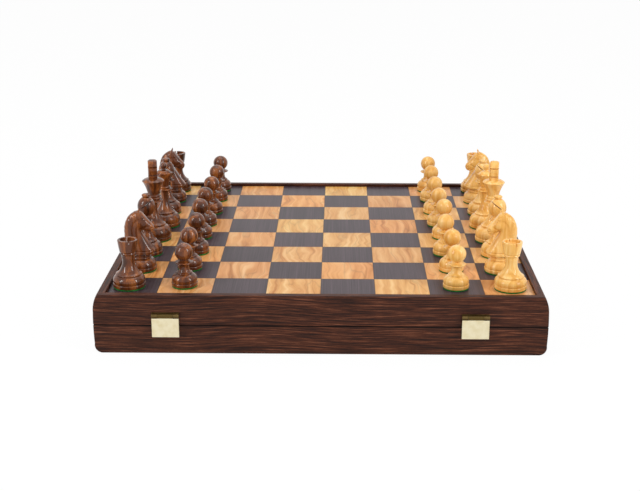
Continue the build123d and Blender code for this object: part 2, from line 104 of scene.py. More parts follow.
# %% [markdown]
# ## Helpers for finishes
# A finish is a small network of nodes. One helper adds a node with its settings and
# inputs, another turns a colour as an eye picks it into the linear numbers that light
# works with, and a third maps a pattern's value onto a row of colours.

# %% Node helpers
def colour(code):
    """Linear RGBA of a six-digit colour: ((c + 0.055) / 1.055) ** 2.4, or c / 12.92 when dark."""
    parts = [int(code[i:i + 2], 16) / 255 for i in (0, 2, 4)]
    linear = [c / 12.92 if c <= 0.04045 else ((c + 0.055) / 1.055) ** 2.4 for c in parts]
    return (*linear, 1.0)


class Finish:
    """A new material with a Principled shader, and short ways to add nodes to it."""

    def __init__(self, name, **sockets):
        self.material = bpy.data.materials.new(name)
        self.material.use_nodes = True
        self.tree = self.material.node_tree
        self.tree.nodes.clear()
        output = self.tree.nodes.new("ShaderNodeOutputMaterial")
        self.shader = self.tree.nodes.new("ShaderNodeBsdfPrincipled")
        self.tree.links.new(self.shader.outputs[0], output.inputs[0])
        for socket, value in sockets.items():
            self.shader.inputs[socket.replace("_", " ")].default_value = value
        self.place = self.add("TexCoord").outputs["Object"]

    def add(self, kind, inputs=None, **settings):
        node = self.tree.nodes.new("ShaderNode" + kind)
        for key, value in settings.items():
            setattr(node, key, value)
        for key, value in (inputs or {}).items():
            if isinstance(value, bpy.types.NodeSocket):
                self.tree.links.new(value, node.inputs[key])
            else:
                node.inputs[key].default_value = value
        return node

    def stretch(self, scale, source=None, shift=(0, 0, 0)):
        """The place on the piece, stretched: a small number draws the pattern out along that axis."""
        inputs = {"Vector": source or self.place, "Scale": scale, "Location": shift}
        return self.add("Mapping", inputs).outputs[0]

    def noise(self, vector, detail=4.0, rough=0.55, distortion=0.0, scale=1.0):
        inputs = {"Vector": vector, "Scale": scale, "Detail": detail, "Roughness": rough,
                  "Distortion": distortion}
        return self.add("TexNoise", inputs).outputs["Fac"]

    def ramp(self, value, stops):
        node = self.add("ValToRGB", {"Fac": value})
        band = node.color_ramp
        for position, code in stops[1:-1]:
            band.elements.new(position)
        for element, (position, code) in zip(band.elements, stops):
            element.position = position
            element.color = colour(code) if isinstance(code, str) else (code, code, code, 1.0)
        return node.outputs["Color"]

    def mix(self, amount, first, second, blend="MIX"):
        node = self.add("Mix", data_type="RGBA", blend_type=blend)
        for socket, value in (("Factor", amount), ("A", first), ("B", second)):
            target = [s for s in node.inputs if s.name == socket and s.enabled][0]
            if isinstance(value, bpy.types.NodeSocket):
                self.tree.links.new(value, target)
            else:
                target.default_value = value
        return [s for s in node.outputs if s.enabled][0]

    def maths(self, operation, first, second=0.0):
        return self.add("Math", {0: first, 1: second}, operation=operation).outputs[0]

    def base(self, source):
        self.tree.links.new(source, self.shader.inputs["Base Color"])

    def roughness(self, value, low, high):
        spread = self.add("MapRange", {"Value": value, "To Min": low, "To Max": high}).outputs[0]
        self.tree.links.new(spread, self.shader.inputs["Roughness"])

    def bump(self, height, distance, strength=1.0):
        node = self.add("Bump", {"Height": height, "Distance": distance, "Strength": strength})
        self.tree.links.new(node.outputs[0], self.shader.inputs["Normal"])


print("finish helpers ready")

# %% [markdown]
# ## Case veneer
# The case is covered in a dark brown veneer with long, fine, straight streaks. Streaks
# are noise that is pulled out along the grain: ten or twenty cycles in a metre one way
# and several hundred the other. The front and back boards have their grain along X, the
# sides along Y, so the function takes the direction. A thin satin lacquer is a coat. Where
# lid and base meet, a dark line of painted shade is drawn for the shaded gap between them.

# %% Case veneer
FINE = 900.0
BROAD = 170.0
FINE_ALONG = 26.0
BROAD_ALONG = 7.0
SEAM_Z = (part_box("base_front_wall")[1].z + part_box("lid_front_wall")[0].z) / 2


def case_veneer(name, along):
    """Dark veneer whose grain runs along one axis (0 is X, 1 is Y)."""
    finish = Finish(name, Coat_Weight=0.12, Coat_Roughness=0.35, Specular_IOR_Level=0.12)
    fine_scale = [FINE, FINE, FINE]
    fine_scale[along] = FINE_ALONG
    broad_scale = [BROAD, BROAD, BROAD]
    broad_scale[along] = BROAD_ALONG
    wander = finish.noise(finish.stretch((5, 5, 5)), detail=1.0)
    lifted = finish.add("CombineXYZ", {2: finish.maths("MULTIPLY", wander, 0.02)}).outputs[0]
    place = finish.add("VectorMath", {0: finish.place, 1: lifted}, operation="ADD").outputs[0]
    fine = finish.noise(finish.stretch(fine_scale, place), detail=5.0, rough=0.75)
    broad = finish.noise(finish.stretch(broad_scale, place), detail=3.0, distortion=0.4)
    pores = finish.noise(finish.stretch([2.2 * s for s in fine_scale], place), detail=2.0)
    streaks = finish.ramp(fine, [(0.34, "140603"), (0.45, "30150b"), (0.55, "4c2615"), (0.68, "7c4b35")])
    bands = finish.ramp(broad, [(0.30, 0.36), (0.50, 0.50), (0.70, 0.62)])
    shade = finish.mix(0.8, streaks, bands, "OVERLAY")
    dark_pores = finish.ramp(pores, [(0.32, 0.35), (0.44, 1.0), (1.0, 1.0)])
    grained = finish.mix(1.0, shade, dark_pores, "MULTIPLY")
    # Painted shade: the colour darkens within about a millimetre of the seam between lid and base, standing
    # for the shaded gap.
    height = finish.add("SeparateXYZ", {0: finish.place}).outputs[2]
    off_seam = finish.maths("ABSOLUTE", finish.maths("SUBTRACT", height, SEAM_Z))
    from_seam = finish.maths("MULTIPLY", off_seam, 1 / MM)
    painted_seam_shade = finish.ramp(from_seam, [(0.0, 0.12), (0.45, 0.2), (0.85, 1.0), (1.0, 1.0)])
    finish.base(finish.mix(1.0, grained, painted_seam_shade, "MULTIPLY"))
    finish.roughness(fine, 0.45, 0.62)
    finish.bump(fine, 0.00012, 0.6)
    return finish.material


case_x = case_veneer("case_veneer_along_x", 0)
case_y = case_veneer("case_veneer_along_y", 1)
print("case veneer:", case_x.name, case_y.name)

# %% [markdown]
# ## Board veneers
# Each square is its own leaf of veneer, so the figure must break at every line. The
# number of the square, found by rounding the place down to whole squares, seeds a random
# shift of the pattern. Dark squares have fine straight grain from front to back; light
# ones are olive wood with wavy darker figure. A hair of dark glue shows at each joint.

# %% Board veneers
SQUARE = 0.05
FIELD_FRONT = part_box("dark_squares")[0].y
DARK_VENEER = [(0.28, "2f2427"), (0.5, "45383d"), (0.72, "594b51")]
OLIVE_WOOD = [(0.28, "b47d42"), (0.42, "d3a265"), (0.55, "e0b67e"), (0.74, "ecd0a0")]
DARK_TONES = ("ececec", "f4f4f4", "ffffff")
OLIVE_TONES = ("ffe0c0", "f2dcd0", "fff6d8")


def square_number(finish):
    """Whole column and row numbers of the place, and how far it is from the nearest joint."""
    to_corner = (8 * SQUARE, -FIELD_FRONT, 0)
    moved = finish.add("VectorMath", {0: finish.place, 1: to_corner}, operation="ADD").outputs[0]
    per_square = (1 / SQUARE, 1 / SQUARE, 0)
    cells = finish.add("VectorMath", {0: moved, 1: per_square}, operation="MULTIPLY").outputs[0]
    whole = finish.add("VectorMath", {0: cells}, operation="FLOOR").outputs[0]
    part = finish.add("VectorMath", {0: cells}, operation="FRACTION").outputs[0]
    split = finish.add("SeparateXYZ", {0: part})
    near = []
    for axis in (0, 1):
        other = finish.maths("SUBTRACT", 1.0, split.outputs[axis])
        near.append(finish.maths("MINIMUM", split.outputs[axis], other))
    return whole, finish.maths("MINIMUM", near[0], near[1])


def board_veneer(name, dark):
    """Veneer that breaks at every square: plain dark wood, or olive wood with its figure."""
    finish = Finish(name, Coat_Weight=0.05, Coat_Roughness=0.25, Specular_IOR_Level=0.12)
    whole, joint = square_number(finish)
    chance = finish.add("TexWhiteNoise", {"Vector": whole}, noise_dimensions="3D")
    drawn = {0: chance.outputs["Color"], "Scale": 3.0}
    shift = finish.add("VectorMath", drawn, operation="SCALE").outputs[0]
    place = finish.add("VectorMath", {0: finish.place, 1: shift}, operation="ADD").outputs[0]
    if dark:
        fine = finish.noise(finish.stretch((1100, 9, 1), place), detail=4.0, rough=0.65)
        broad = finish.noise(finish.stretch((130, 6, 1), place), detail=2.0)
        figure = finish.ramp(fine, DARK_VENEER)
        tone = finish.ramp(broad, [(0.3, 0.40), (0.7, 0.58)])
    else:
        swirl = finish.noise(finish.stretch((24, 15, 1), place), detail=2.0, distortion=0.6)
        sideways = finish.add("CombineXYZ", {0: finish.maths("MULTIPLY", swirl, 0.03)}).outputs[0]
        bent = finish.add("VectorMath", {0: place, 1: sideways}, operation="ADD").outputs[0]
        lines = finish.noise(finish.stretch((190, 8, 1), bent), detail=4.0, rough=0.55)
        fine = finish.noise(finish.stretch((900, 60, 1), bent), detail=3.0)
        figure = finish.ramp(lines, OLIVE_WOOD)
        tone = finish.ramp(swirl, [(0.3, 0.44), (0.5, 0.50), (0.7, 0.55)])
        vein = finish.noise(finish.stretch((52, 7, 1), bent), detail=2.0, distortion=0.3)
        nearness = finish.maths("ABSOLUTE", finish.maths("SUBTRACT", vein, 0.47))
        line = finish.ramp(nearness, [(0.0, 0.55), (0.010, 0.85), (0.025, 1.0), (1.0, 1.0)])
        figure = finish.mix(0.45, figure, line, "MULTIPLY")
    varied = finish.mix(0.8, figure, tone, "OVERLAY")
    low, middle, high = DARK_TONES if dark else OLIVE_TONES
    square_tone = finish.ramp(chance.outputs["Value"], [(0.0, low), (0.5, middle), (1.0, high)])
    varied = finish.mix(1.0, varied, square_tone, "MULTIPLY")
    glue = finish.ramp(joint, [(0.0, 0.25), (0.006, 0.45), (0.010, 1.0), (1.0, 1.0)])
    finish.base(finish.mix(1.0, varied, glue, "MULTIPLY"))
    finish.roughness(fine, 0.26, 0.42)
    finish.bump(fine, 0.00005, 0.5)
    return finish.material


dark_square = board_veneer("dark_square_veneer", True)
light_square = board_veneer("light_square_veneer", False)
print("board veneers:", dark_square.name, light_square.name)

# %% [markdown]
# ## The men's wood, the plain panels, brass and felt
# The dark men are stained and the light ones are boxwood, both under a glossy lacquer,
# so each has a sharp coat over softer wood. Grain runs up the piece. The brass is a
# metal with faint brushing, and felt is a rough cloth with sheen and a fuzzy bump. The
# clasps' flaps are pale and polished, and their rolled knuckles get a dark painted shade.

# %% Men's wood
DARK_STAIN = [(0.3, "321708"), (0.5, "633112"), (0.7, "a25e29")]
BOXWOOD = [(0.3, "d9983f"), (0.5, "edb661"), (0.7, "f7cf88")]
LACQUER_IOR = 1.38


def men_wood(name, stops, contrast, coat, gloss):
    """Turned wood with upright grain: rings of colour, fine threads over them, and a coat."""
    finish = Finish(name, Coat_Weight=coat, Coat_Roughness=gloss, Coat_IOR=LACQUER_IOR,
                    Roughness=0.4, Specular_IOR_Level=0.12)
    rings = finish.noise(finish.stretch((150, 150, 16)), detail=3.0, distortion=0.8)
    fibres = finish.noise(finish.stretch((1500, 1500, 60)), detail=3.0, rough=0.6)
    tone = finish.noise(finish.stretch((9, 9, 4)), detail=1.0)
    shade = finish.ramp(rings, stops)
    thread = finish.ramp(fibres, [(0.3, 0.5 - contrast), (0.7, 0.5 + contrast)])
    body = finish.mix(1.0, shade, thread, "OVERLAY")
    by_piece = finish.ramp(tone, [(0.3, 0.88), (0.7, 1.0)])
    finish.base(finish.mix(1.0, body, by_piece, "MULTIPLY"))
    finish.bump(fibres, 0.00003, 0.4)
    return finish.material


dark_wood = men_wood("dark_men_wood", DARK_STAIN, 0.10, 0.9, 0.06)
light_wood = men_wood("light_men_wood", BOXWOOD, 0.04, 0.7, 0.12)

panel = Finish("panel_wood", Roughness=0.6)
panel_grain = panel.noise(panel.stretch((6, 320, 320)), detail=4.0)
panel.base(panel.ramp(panel_grain, [(0.3, "8f6a45"), (0.55, "b08a5f"), (0.75, "c5a277")]))
panel.bump(panel_grain, 0.0001, 0.4)
print("woods:", dark_wood.name, light_wood.name, panel.material.name)

# %% Brass
def brass(name, tint, worn, low, high, painted_shade_above=1.0):
    """Satin brass: brushed lines across the piece, a duller tint in patches, and painted shade above a
    height.
    """
    finish = Finish(name, Metallic=1.0)
    lines = finish.noise(finish.stretch((70, 70, 2600)), detail=3.0)
    patches = finish.noise(finish.stretch((160, 160, 160)), detail=3.0)
    plain = finish.mix(finish.ramp(patches, [(0.4, 0.0), (0.72, 0.6)]), colour(tint), colour(worn))
    # Painted shade: above the given height the colour is a dark brown, standing for shade on the rolled
    # knuckles above the flap.
    height = finish.add("SeparateXYZ", {0: finish.place}).outputs[2]
    painted_shade_mask = finish.maths("GREATER_THAN", height, painted_shade_above)
    finish.base(finish.mix(painted_shade_mask, plain, colour("5c4b2a")))
    finish.roughness(lines, low, high)
    finish.bump(lines, 0.00002, 0.35)
    return finish.material


plain_brass = brass("brass", "6c5936", "4c3d24", 0.32, 0.50)
# Height above which the pale brass gets painted shade: its rolled knuckles.
KNUCKLES_FROM = 0.0356
pale_brass = brass("satin_brass", "eadfbe", "d6c596", 0.30, 0.46, KNUCKLES_FROM)
print("brass:", plain_brass.name, pale_brass.name)

# %% Felt
felt = Finish("felt", Roughness=0.95, Specular_IOR_Level=0.1, Sheen_Weight=0.12, Sheen_Roughness=0.5)
fuzz = felt.noise(felt.stretch((2300, 2300, 2300)), detail=3.0, rough=0.7)
clumps = felt.noise(felt.stretch((260, 260, 260)), detail=3.0)
felt_tone = felt.ramp(clumps, [(0.3, "145a20"), (0.6, "1f782d"), (0.75, "2b903c")])
felt.base(felt.mix(0.6, felt_tone, felt.ramp(fuzz, [(0.3, 0.35), (0.7, 0.62)]), "OVERLAY"))
felt.bump(fuzz, 0.0003, 0.8)
print("felt:", felt.material.name)

# %% [markdown]
# ## Dress the measured parts
# A measured part keeps its mesh and gets its finish in its material slots. The names
# of the record's slots say which finish goes where, apart from the case walls, whose
# grain direction depends on the wall.

# %% Finishes on the measured parts
BY_SLOT = {
    "panel_wood": panel.material,
    "dark_square_veneer": dark_square,
    "light_square_veneer": light_square,
    "felt": felt.material,
    "brass": plain_brass,
    "satin_brass": pale_brass,
    "dark_men_wood": dark_wood,
    "light_men_wood": light_wood,
}


def wear(obj, material):
    obj.data.materials.clear()
    obj.data.materials.append(material)


for part in frame["record"]["subparts"]:
    node = part["node"]
    slot = part["material_slot"]
    if slot == "case_veneer":
        sideways = "left" in node or "right" in node
        wear(frame["nodes"][node], case_y if sideways else case_x)
    else:
        wear(frame["nodes"][node], BY_SLOT[slot])

# %% [markdown]
# ## Meshes from grids
# A surface is worked out as a grid of points: rows one way, columns the other. Each
# little square of the grid becomes a face. A closed surface joins its last column to its
# first, and a row that has shrunk to a point is closed with a fan of triangles.

# %% Grid helper
def grid_mesh(name, points, cap_low=True, cap_high=True):
    """A mesh from points[row, column, xyz], closed round the columns, with its two ends capped.

    Face k joins row r, column c to the next row and the next column, counted round.
    """
    rows, columns = points.shape[:2]
    index = np.arange(rows * columns).reshape(rows, columns)
    here = index[:-1]
    after = index[1:]
    quads = np.stack([here, np.roll(here, -1, 1), np.roll(after, -1, 1), after], axis=-1).reshape(-1, 4)
    vertices = points.reshape(-1, 3)
    faces = quads.tolist()
    for wanted, row, order in ((cap_low, index[0], 1), (cap_high, index[-1], -1)):
        if wanted:
            middle = len(vertices)
            vertices = np.vstack([vertices, vertices[row].mean(0)])
            ring = np.stack([np.roll(row, -1), row], axis=-1)[:, ::order]
            faces += [(middle, int(a), int(b)) for a, b in ring]
    mesh = bpy.data.meshes.new(name)
    mesh.from_pydata(vertices.tolist(), [], faces)
    mesh.validate()
    mesh.update()
    return mesh


def make_piece(name, mesh, material, body, sharp=40.0):
    """Link a mesh as a piece with its finish, smooth but for its sharp edges, riding on a body."""
    piece = bpy.data.objects.new(name, mesh)
    bpy.context.scene.collection.objects.link(piece)
    mesh.materials.append(material)
    mesh.shade_smooth()
    mesh.set_sharp_from_angle(angle=math.radians(sharp))
    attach(piece, body)
    return piece


print("grid helpers ready")

# %% [markdown]
# ## Turned shapes
# Every man but the knight's head is turned on a lathe, so its shape is one outline spun
# about an upright line. The outline is a list of stretches: each runs to a radius and a
# height in millimetres, and may bow outwards or hollow inwards along a circle's arc. The
# alternative, a stack of cylinders and spheres, would show a seam at every change.

# %% Turned outlines
PAD = 1.3
ARC_STEPS = 10


def arc(start, end, bow):
    """Points along a shallow arc: the straight line plus bow * 4 t (1 - t) to its right-hand side."""
    start = np.array(start, float)
    end = np.array(end, float)
    run = end - start
    side = np.array([run[1], -run[0]]) / np.hypot(*run)
    t = np.linspace(0, 1, ARC_STEPS + 1)[1:, None] if bow else np.array([[1.0]])
    return start + run * t + side * bow * 4 * t * (1 - t)


def outline(stretches):
    """All points of an outline, as rows of (radius, height), starting on the axis above the pad."""
    here = (0.0, PAD)
    points = [np.array([here])]
    for stretch in stretches:
        bow = stretch[2] if len(stretch) > 2 else 0
        points.append(arc(here, stretch[:2], bow))
        here = stretch[:2]
    return np.vstack(points)


def spin(profile, turns=72):
    """Points of the outline spun about Z: (r cos a, r sin a, z) for every outline point and angle."""
    angle = np.linspace(0, 2 * np.pi, turns, endpoint=False)
    radius, height = profile[:, 0:1], profile[:, 1:2]
    x = radius * np.cos(angle)
    y = radius * np.sin(angle)
    return np.stack([x, y, np.broadcast_to(height, x.shape)], axis=-1)


def foot(radius, waist, waist_z):
    """Plinth, groove and swelling that every man stands on, in the order of the outline."""
    return [
        (radius - 0.8, PAD),
        (radius - 0.15, PAD + 0.5, 0.15),
        (radius, 4.4, 0.1),
        (radius - 0.25, 4.75),
        (radius - 0.7, 4.9),
        (radius - 0.45, 5.25),
        (waist, waist_z, 0.2 * (waist_z - 5)),
    ]


def ball(radius, centre, from_radius):
    """The stretch of a ball above a neck: one round of points that stops just short of the pole."""
    start = -math.acos(from_radius / radius)
    turn = np.linspace(start, math.pi / 2 - 0.05, 22)
    return np.stack([radius * np.cos(turn), centre + radius * np.sin(turn)], axis=-1)


OUTLINES = {
    "pawn": foot(12.1, 8.4, 12.4) + [
        (7.4, 12.8), (7.2, 13.1), (7.3, 14.2, 0.45), (6.3, 14.6), (4.65, 18.4, -0.45), (7.9, 22.9, -1.35),
        (8.45, 23.3, 0.1), (8.5, 23.9, 0.15), (7.9, 24.3), (4.9, 25.5, -0.3), (4.4, 26.0)],
    "rook": foot(15.0, 12.1, 12.1) + [
        (11.6, 12.5), (11.9, 13.9, 0.5), (10.8, 14.4), (10.2, 14.9), (6.0, 29.5, -2.1), (6.3, 32.0, -0.15),
        (6.9, 32.5), (7.2, 33.3, 0.25), (6.9, 34.0), (7.5, 34.5), (7.9, 36.0, 0.1), (9.25, 45.5, 0.15),
        (9.1, 45.9), (8.7, 46.0), (7.3, 46.0), (6.9, 45.7), (6.6, 43.2), (0.3, 43.0)],
    "knight": foot(15.0, 10.0, 12.4) + [
        (9.5, 12.8), (9.8, 14.2, 0.45), (9.2, 14.6), (9.0, 15.4), (9.4, 15.8), (9.7, 17.0, 0.25),
        (0.3, 17.2)],
    "bishop": foot(15.0, 10.1, 13.4) + [
        (9.2, 13.8), (9.1, 15.2, 0.5), (8.1, 15.7), (4.0, 33.0, -2.1), (4.9, 36.2, -0.35), (5.4, 36.5),
        (7.4, 37.0, -0.2), (7.6, 37.8, 0.3), (7.3, 38.3), (5.7, 38.8, -0.2), (5.9, 40.0, 0.35), (4.9, 40.7),
        (8.7, 50.0, 1.15), (2.9, 59.2, 1.45), (3.5, 59.6), (4.05, 60.6, 0.35), (3.4, 61.9, 0.35),
        (1.4, 62.6, 0.15), (0.3, 62.7)],
    "queen": foot(16.0, 11.1, 14.4) + [
        (10.2, 14.8), (10.2, 16.2, 0.5), (9.2, 16.8), (4.1, 36.0, -2.3), (5.2, 39.5, -0.35), (5.8, 39.9),
        (8.0, 40.4, -0.2), (8.2, 41.2, 0.3), (7.9, 41.7), (6.3, 42.2, -0.2), (6.5, 43.6, 0.35), (5.3, 44.3),
        (5.5, 46.0, -0.1), (9.1, 58.0, -0.8), (9.15, 58.9, 0.15), (8.6, 59.3), (7.4, 58.9, -0.2),
        (3.0, 61.8, 0.9), (2.3, 62.3), (2.0, 62.9)],
    "king": foot(17.0, 11.8, 15.6) + [
        (10.9, 16.0), (10.9, 17.6, 0.6), (9.7, 18.2), (3.6, 37.0, -2.5), (4.7, 40.3, -0.45), (5.4, 40.7),
        (8.6, 41.2, -0.2), (8.8, 42.1, 0.3), (8.4, 42.6), (6.8, 43.1, -0.2), (7.4, 44.2), (7.6, 45.3, 0.35),
        (6.6, 46.0), (6.6, 48.0, 0.4), (5.9, 48.5), (6.1, 50.0, -0.1), (11.1, 62.3, -0.6),
        (11.15, 63.0, 0.15), (10.7, 63.4), (5.2, 65.6, 0.5), (4.6, 66.4)],
}


def turned_profile(kind):
    """The whole outline of a kind of man, with the ball of a pawn or queen on its neck."""
    profile = outline(OUTLINES[kind])
    if kind == "pawn":
        profile = np.vstack([profile, ball(8.45, 33.3, 4.4)])
    if kind == "queen":
        profile = np.vstack([profile, ball(3.5, 66.2, 2.0)])
    return profile


print("outlines:", {kind: len(turned_profile(kind)) for kind in OUTLINES})

# %% [markdown]
# ## Cutting
# Saw cuts, such as the slit in a bishop's mitre and the gaps in a rook's wall, are made
# as a maker would make them: the turned piece is finished first and a thin block is
# taken out of it. The Boolean modifier does that, and its result is kept as the mesh.

# %% Cutting helper
def block_mesh(name, size, matrix):
    """A block of that size in millimetres, placed by a matrix: eight corners and six faces."""
    sign = np.array([(x, y, z) for x in (-1, 1) for y in (-1, 1) for z in (-1, 1)], float)
    corners = sign * np.array(size) / 2
    placed = [tuple(matrix @ Vector(corner)) for corner in corners]
    faces = [(0, 1, 3, 2), (4, 6, 7, 5), (0, 4, 5, 1), (2, 3, 7, 6), (0, 2, 6, 4), (1, 5, 7, 3)]
    mesh = bpy.data.meshes.new(name)
    mesh.from_pydata(placed, [], faces)
    return mesh


def cut(mesh, cutters, operation="DIFFERENCE"):
    """The mesh with every cutter taken away from it, or joined to it."""
    work = bpy.data.objects.new("work", mesh)
    bpy.context.scene.collection.objects.link(work)
    tools = []
    for cutter in cutters:
        tool = bpy.data.objects.new("tool", cutter)
        bpy.context.scene.collection.objects.link(tool)
        modifier = work.modifiers.new("cut", "BOOLEAN")
        modifier.operation = operation
        modifier.solver = "EXACT"
        modifier.object = tool
        tools.append(tool)
    bpy.context.view_layer.update()
    result = bpy.data.meshes.new_from_object(work.evaluated_get(bpy.context.evaluated_depsgraph_get()))
    for spent in [work, *tools]:
        bpy.data.objects.remove(spent)
    return result


print("cutting helper ready")

# %% [markdown]
# ## The knight's head
# A carved head bends over from an upright neck, so its sections fan out round the throat.
# Two curves are drawn from the side: the back of the neck, over the ears and down the
# nose, and the chest, up to the throat and out along the jaw. Every section is a rounded
# loop between one point of each. Mane, eye, nostril, cheek and mouth are then pushed in
# or out along the surface, each by a smooth bump at its own place.

# %% Knight's curves
HEAD_BACK = [(-11.9, 17.6), (-13.4, 22.5), (-14.4, 30.0), (-14.9, 38.0), (-14.3, 45.5), (-11.0, 53.2),
             (-5.6, 57.8), (-1.2, 59.2), (2.4, 57.6), (5.0, 54.6), (7.8, 51.0), (10.8, 47.6), (13.0, 45.0),
             (14.0, 42.6)]
HEAD_FRONT = [(12.6, 17.6), (14.1, 20.2), (11.2, 24.4), (8.2, 28.8), (5.4, 33.4), (3.0, 37.0),
              (1.9, 39.6), (2.6, 40.4), (3.9, 40.0), (5.6, 38.9), (7.6, 38.0), (9.6, 37.6), (12.0, 38.4),
              (13.6, 40.6)]
HEAD_HALF = [9.6, 9.0, 7.9, 7.0, 6.5, 6.3, 6.1, 5.9, 5.7, 5.3, 4.8, 4.3, 3.6, 2.4]


def smooth_curve(points, count):
    """A Catmull-Rom curve through the points, at count even steps of the points' numbers."""
    p = np.array(points, float)
    if p.ndim == 1:
        p = p[:, None]
    ends = np.vstack([2 * p[0] - p[1], p, 2 * p[-1] - p[-2]])
    where = np.linspace(0, len(p) - 1, count)
    first = np.minimum(where.astype(int), len(p) - 2)
    t = (where - first)[:, None]
    a, b, c, d = (ends[first + k] for k in range(4))
    squared = (2 * a - 5 * b + 4 * c - d) * t ** 2
    cubed = (3 * b - a - 3 * c + d) * t ** 3
    return 0.5 * (2 * b + (c - a) * t + squared + cubed)


def dot(x, z, centre, size):
    """A soft round spot: exp of minus the squared distance over the squared size."""
    return np.exp(-((x - centre[0]) ** 2 + (z - centre[1]) ** 2) / size ** 2)


def stroke(x, z, start, end, width):
    """A soft line: the same fall-off, from the nearest point of a straight stroke."""
    run = np.subtract(end, start)
    t = np.clip(((x - start[0]) * run[0] + (z - start[1]) * run[1]) / (run @ run), 0, 1)
    return dot(x, z, (start[0] + t * run[0], start[1] + t * run[1]), width)


def carving(x, z):
    """How far the side of the head stands out from its plain section, in millimetres."""
    cheek = 0.9 * dot(x, z, (2.4, 46.0), 4.6)
    brow = 0.7 * stroke(x, z, (2.6, 54.4), (6.0, 52.0), 1.3)
    socket = -0.8 * dot(x, z, (4.6, 51.2), 1.5)
    eye = 0.95 * dot(x, z, (4.6, 51.1), 0.75)
    nostril = -0.9 * dot(x, z, (12.2, 42.9), 0.8) + 0.45 * dot(x, z, (11.4, 43.9), 1.2)
    mouth = -0.75 * stroke(x, z, (8.2, 40.0), (13.6, 40.6), 0.42)
    jaw = -0.5 * stroke(x, z, (2.6, 42.0), (8.0, 44.6), 0.9)
    collar = -0.45 * stroke(x, z, (-11.0, 20.5), (12.0, 20.5), 0.5)
    return cheek + brow + socket + eye + nostril + mouth + jaw + collar


def knight_head(rows=150, columns=96):
    """Loops between the two curves: middle + half * (cos a, sin a), squared off a little."""
    back = smooth_curve(HEAD_BACK, rows)
    front = smooth_curve(HEAD_FRONT, rows)
    half = smooth_curve(HEAD_HALF, rows)[:, 0]
    angle = np.linspace(0, 2 * np.pi, columns, endpoint=False)
    flat = np.sign(np.cos(angle)) * np.abs(np.cos(angle)) ** 0.8
    wide = np.sign(np.sin(angle)) * np.abs(np.sin(angle)) ** 0.8
    middle = (back + front) / 2
    reach = (front - back) / 2
    x = middle[:, 0:1] + reach[:, 0:1] * flat
    z = middle[:, 1:2] + reach[:, 1:2] * flat
    along = np.linspace(0, 1, rows)[:, None]
    side = np.abs(wide)
    y = half[:, None] * wide
    y = y + np.sign(wide) * carving(x, z) * side ** 0.5
    rear = np.clip((-flat - 0.15) / 0.85, 0, 1)
    on_neck = np.clip(along / 0.06, 0, 1) * np.clip((0.60 - along) / 0.08, 0, 1)
    lock = np.sin(2 * np.pi * (along * 22 + 1.1 * flat)) * 0.17 * rear ** 0.6 * on_neck
    edge = -0.5 * np.exp(-((flat + 0.15) / 0.07) ** 2) * on_neck
    y = y + np.sign(wide) * (lock + edge) * np.minimum(side * 3, 1)
    x = x - lock * rear ** 3 * 0.3
    return np.stack([x, y, z], axis=-1)


def ear(side):
    """One pricked ear: a cone with an oval section, leaning a little forward, hollow in front."""
    t = np.linspace(0, 1, 14)[:, None]
    angle = np.linspace(0, 2 * np.pi, 24, endpoint=False)
    taper = (1 - t) ** 0.75
    hollow = 1 - 0.45 * np.exp(-((np.cos(angle) - 1) / 0.5) ** 2) * np.sin(np.pi * np.minimum(t * 1.1, 1))
    x = -1.2 + 1.6 * t + 2.5 * taper * np.cos(angle) * hollow
    y = side * (2.9 - 0.1 * t) + 1.7 * taper * np.sin(angle)
    z = 54.6 + 7.5 * t + 0 * angle
    return np.stack([x, y, z], axis=-1)


print("knight's head:", knight_head().shape)

# %% [markdown]
# ## The king's cross
# The finial is a thick cross with flared arms, as if a rounded plate had a wedge sawn out
# between each pair of arms. It stands edge-on to a viewer at the front.

# %% King's cross
CROSS_HALF_THICK = 4.7
CROSS_FOOT = 65.0
CROSS_TALL = 20.0
WEDGE = (12.0, 5.6, 1.35)
WEDGE_OUT = 6.6
WEDGES = ((77.7, -24.0), (69.6, 24.0))


def cross_plate(turn):
    """A plate that swells from its foot and closes in a round top: (thickness, half width, height)."""
    rows = 40
    t = np.linspace(0, 1, rows)
    height = CROSS_FOOT + CROSS_TALL * t
    fall = np.clip((t - 0.45) / 0.55, 0, 1)
    half = np.where(t < 0.45, 4.9 + 4.2 * t, np.maximum(6.8 * np.sqrt(1 - fall ** 2.6), 0.8))
    angle = np.linspace(0, 2 * np.pi, 64, endpoint=False)
    square = 0.32
    ca = np.sign(np.cos(angle)) * np.abs(np.cos(angle)) ** square
    sa = np.sign(np.sin(angle)) * np.abs(np.sin(angle)) ** square
    thick = CROSS_HALF_THICK * np.clip((1.02 - t) / 0.09, 0, 1) ** 0.5
    x = thick[:, None] * ca
    y = half[:, None] * sa
    z = np.broadcast_to(height[:, None], x.shape)
    c, s = math.cos(turn), math.sin(turn)
    return np.stack([c * x - s * y, s * x + c * y, z], axis=-1)


def notch_cutters(turn):
    """The four wedges sawn out between the arms, each a thin block tilted towards the middle."""
    cutters = []
    for side in (-1, 1):
        for height, tilt in WEDGES:
            matrix = (Matrix.Rotation(turn, 4, "Z") @ Matrix.Translation((0, side * WEDGE_OUT, height))
                      @ Matrix.Rotation(math.radians(side * tilt), 4, "X"))
            cutters.append(block_mesh("notch", WEDGE, matrix))
    return cutters


print("cross ready")

# %% [markdown]
# ## Set out the men
# Each man is made about its own axis and then moved to where the measured model has it.
# The wood replaces the measured solid. The felt under it is a separate disc that rides
# with it. The two armies face each other, so the light side is turned half round.

